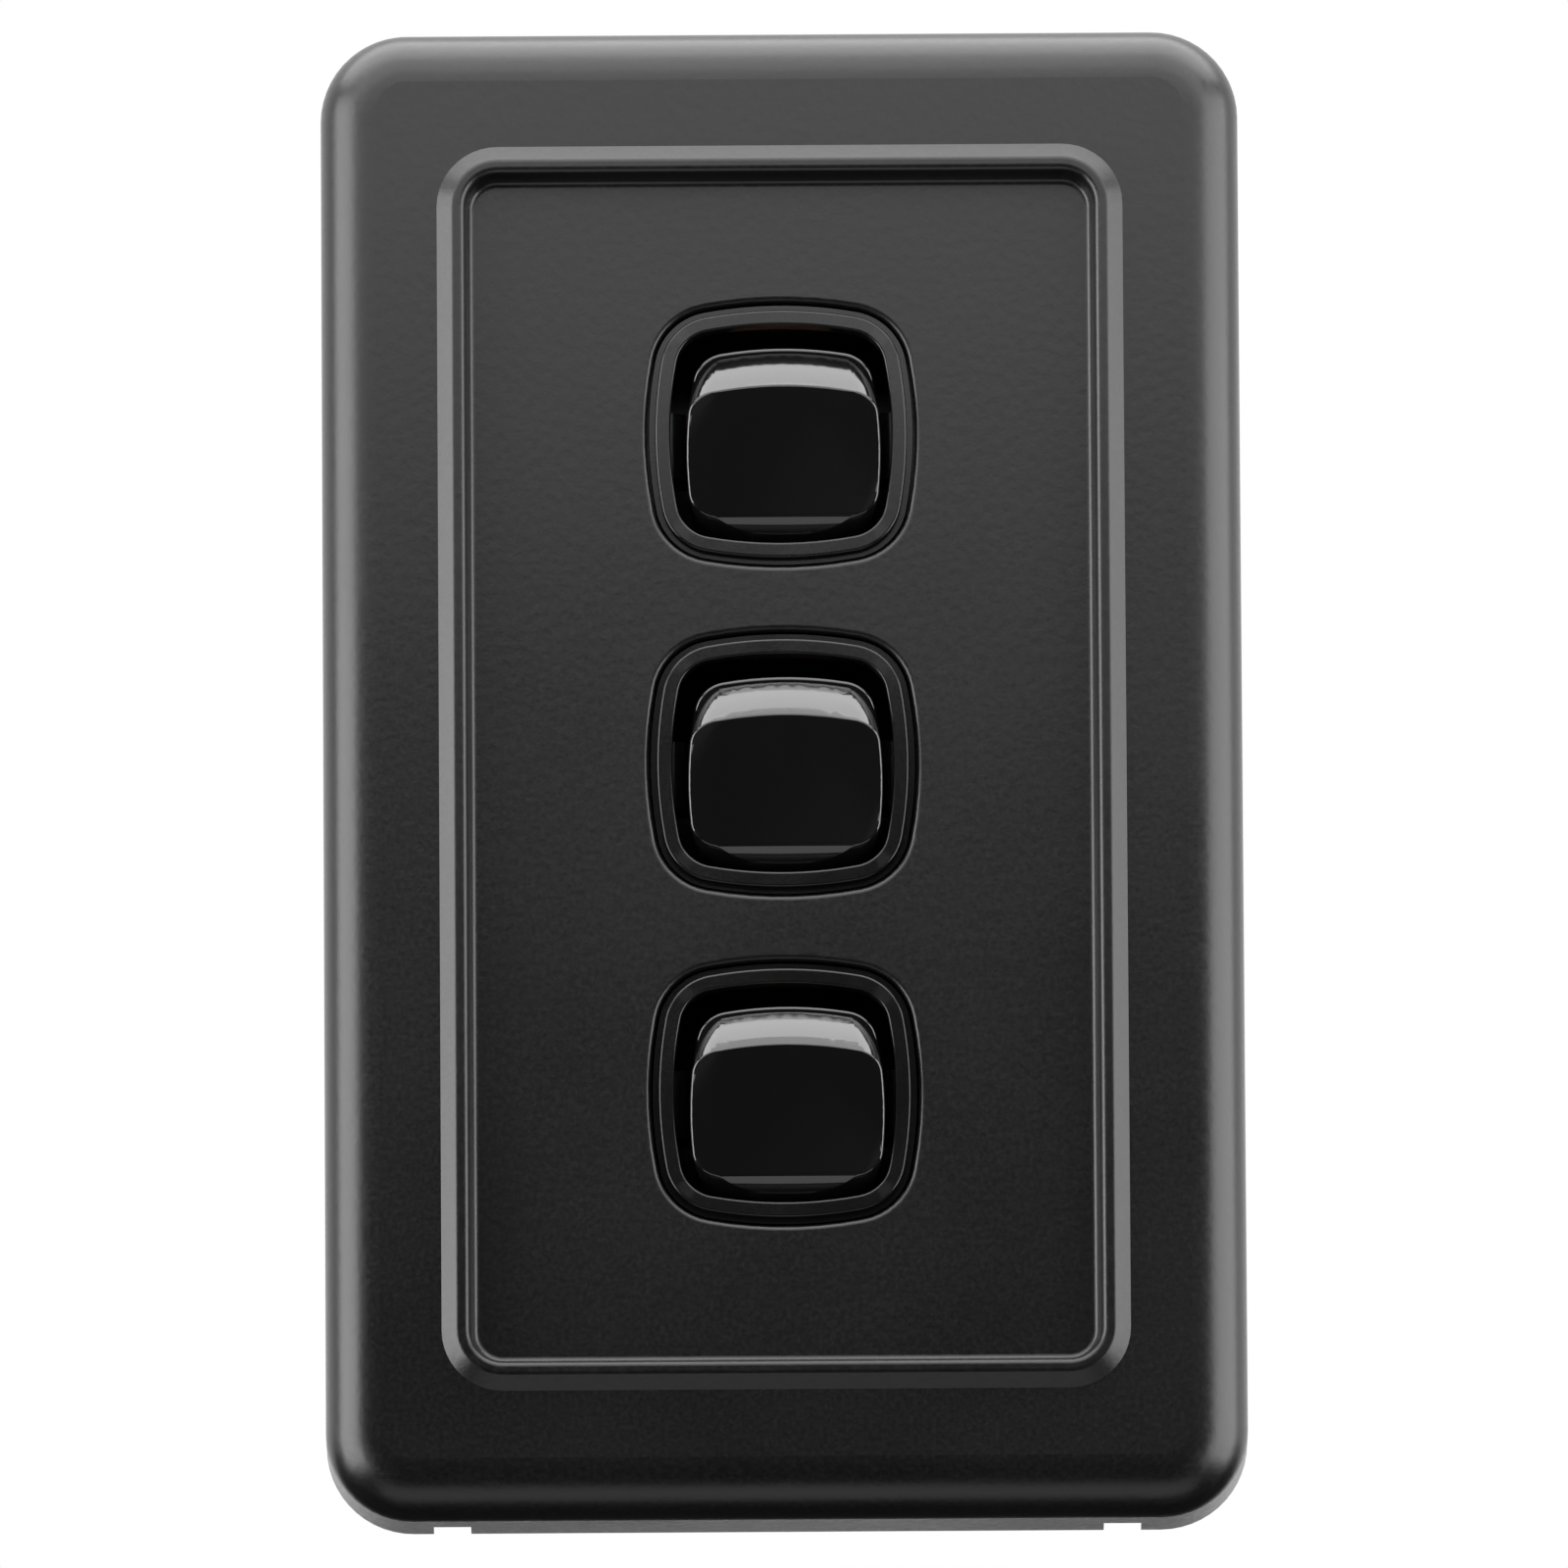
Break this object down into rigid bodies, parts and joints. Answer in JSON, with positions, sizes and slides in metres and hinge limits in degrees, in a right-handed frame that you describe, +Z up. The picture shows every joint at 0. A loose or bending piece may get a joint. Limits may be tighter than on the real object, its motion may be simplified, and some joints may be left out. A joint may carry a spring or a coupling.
{
  "type": "three-gang rocker light switch",
  "caption": "Upright black light switch with a clip-on pressed metal cover, raised bead and glossy rockers in square bezels, on a grid plate with switch mechanisms.",
  "frame": {"origin": "middle of the plate, in the plane of the wall that it is screwed to", "axes": "+X to the right seen from the front, +Y into the wall, +Z up; the front faces -Y"},
  "size_m": [0.0716, 0.0394, 0.1172],
  "materials": {
    "powder_coat": "satin",
    "gloss_black": "gloss",
    "satin_black": "satin",
    "grid_plastic": "matte",
    "housing_plastic": "matte",
    "brass": "satin",
    "copper_blade": "satin",
    "silver_tip": "satin",
    "screw_steel": "satin",
    "spring_steel": "satin",
    "acetal": "satin"
  },
  "bodies": {
    "root": {"grid_plate": "grid_plastic", "mounting_screws": "screw_steel", "cover_clips": "spring_steel", "bezel_top": "satin_black", "fixed_tips_top": "silver_tip", "terminal_1_top": "brass", "terminal_2_top": "brass", "terminal_common_top": "brass", "terminal_loop_top": "brass", "terminal_screws_top": "screw_steel", "barrier_top": "housing_plastic", "housing_top": "housing_plastic", "bezel_middle": "satin_black", "fixed_tips_middle": "silver_tip", "terminal_1_middle": "brass", "terminal_2_middle": "brass", "terminal_common_middle": "brass", "terminal_loop_middle": "brass", "terminal_screws_middle": "screw_steel", "barrier_middle": "housing_plastic", "housing_middle": "housing_plastic", "bezel_bottom": "satin_black", "fixed_tips_bottom": "silver_tip", "terminal_1_bottom": "brass", "terminal_2_bottom": "brass", "terminal_common_bottom": "brass", "terminal_loop_bottom": "brass", "terminal_screws_bottom": "screw_steel", "barrier_bottom": "housing_plastic", "housing_bottom": "housing_plastic"},
    "cover": {"cover_plate": "powder_coat"},
    "rocker_top_body": {"rocker_top": "gloss_black", "plunger_spring_top": "spring_steel"},
    "plunger_top_body": {"plunger_top": "acetal"},
    "contact_top_body": {"moving_contact_top": "copper_blade", "moving_tips_top": "silver_tip"},
    "rocker_middle_body": {"rocker_middle": "gloss_black", "plunger_spring_middle": "spring_steel"},
    "plunger_middle_body": {"plunger_middle": "acetal"},
    "contact_middle_body": {"moving_contact_middle": "copper_blade", "moving_tips_middle": "silver_tip"},
    "rocker_bottom_body": {"rocker_bottom": "gloss_black", "plunger_spring_bottom": "spring_steel"},
    "plunger_bottom_body": {"plunger_bottom": "acetal"},
    "contact_bottom_body": {"moving_contact_bottom": "copper_blade", "moving_tips_bottom": "silver_tip"}
  },
  "joints": [
    {"name": "cover_pull_off", "type": "slide", "parent": "root", "child": "cover", "axis": [0, -1, 0], "range_m": [0, 0.025]},
    {"name": "rocker_top_tilt", "type": "hinge", "parent": "root", "child": "rocker_top_body", "pos_m": [0, -0.0006, 0.02655], "axis": [-1, 0, 0], "range_deg": [0, 22]},
    {"name": "contact_top_rock", "type": "hinge", "parent": "root", "child": "contact_top_body", "pos_m": [0, 0.0078, 0.02655], "axis": [1, 0, 0], "range_deg": [0, 10]},
    {"name": "plunger_top_slide", "type": "slide", "parent": "rocker_top_body", "child": "plunger_top_body", "axis": [0, -0.9816, -0.1908], "range_m": [0, 0.0008], "stiffness_N_per_m": 400, "springref_m": -0.002, "deforming": ["plunger_spring_top"]},
    {"name": "rocker_middle_tilt", "type": "hinge", "parent": "root", "child": "rocker_middle_body", "pos_m": [0, -0.0006, 0.00055], "axis": [-1, 0, 0], "range_deg": [0, 22]},
    {"name": "contact_middle_rock", "type": "hinge", "parent": "root", "child": "contact_middle_body", "pos_m": [0, 0.0078, 0.00055], "axis": [1, 0, 0], "range_deg": [0, 10]},
    {"name": "plunger_middle_slide", "type": "slide", "parent": "rocker_middle_body", "child": "plunger_middle_body", "axis": [0, -0.9816, -0.1908], "range_m": [0, 0.0008], "stiffness_N_per_m": 400, "springref_m": -0.002, "deforming": ["plunger_spring_middle"]},
    {"name": "rocker_bottom_tilt", "type": "hinge", "parent": "root", "child": "rocker_bottom_body", "pos_m": [0, -0.0006, -0.02545], "axis": [-1, 0, 0], "range_deg": [0, 22]},
    {"name": "contact_bottom_rock", "type": "hinge", "parent": "root", "child": "contact_bottom_body", "pos_m": [0, 0.0078, -0.02545], "axis": [1, 0, 0], "range_deg": [0, 10]},
    {"name": "plunger_bottom_slide", "type": "slide", "parent": "rocker_bottom_body", "child": "plunger_bottom_body", "axis": [0, -0.9816, -0.1908], "range_m": [0, 0.0008], "stiffness_N_per_m": 400, "springref_m": -0.002, "deforming": ["plunger_spring_bottom"]}
  ],
  "couplings": [
    {"joint": "contact_top_rock", "follows": "rocker_top_tilt", "ratio": 0.45455},
    {"joint": "contact_middle_rock", "follows": "rocker_middle_tilt", "ratio": 0.45455},
    {"joint": "contact_bottom_rock", "follows": "rocker_bottom_tilt", "ratio": 0.45455}
  ]
}
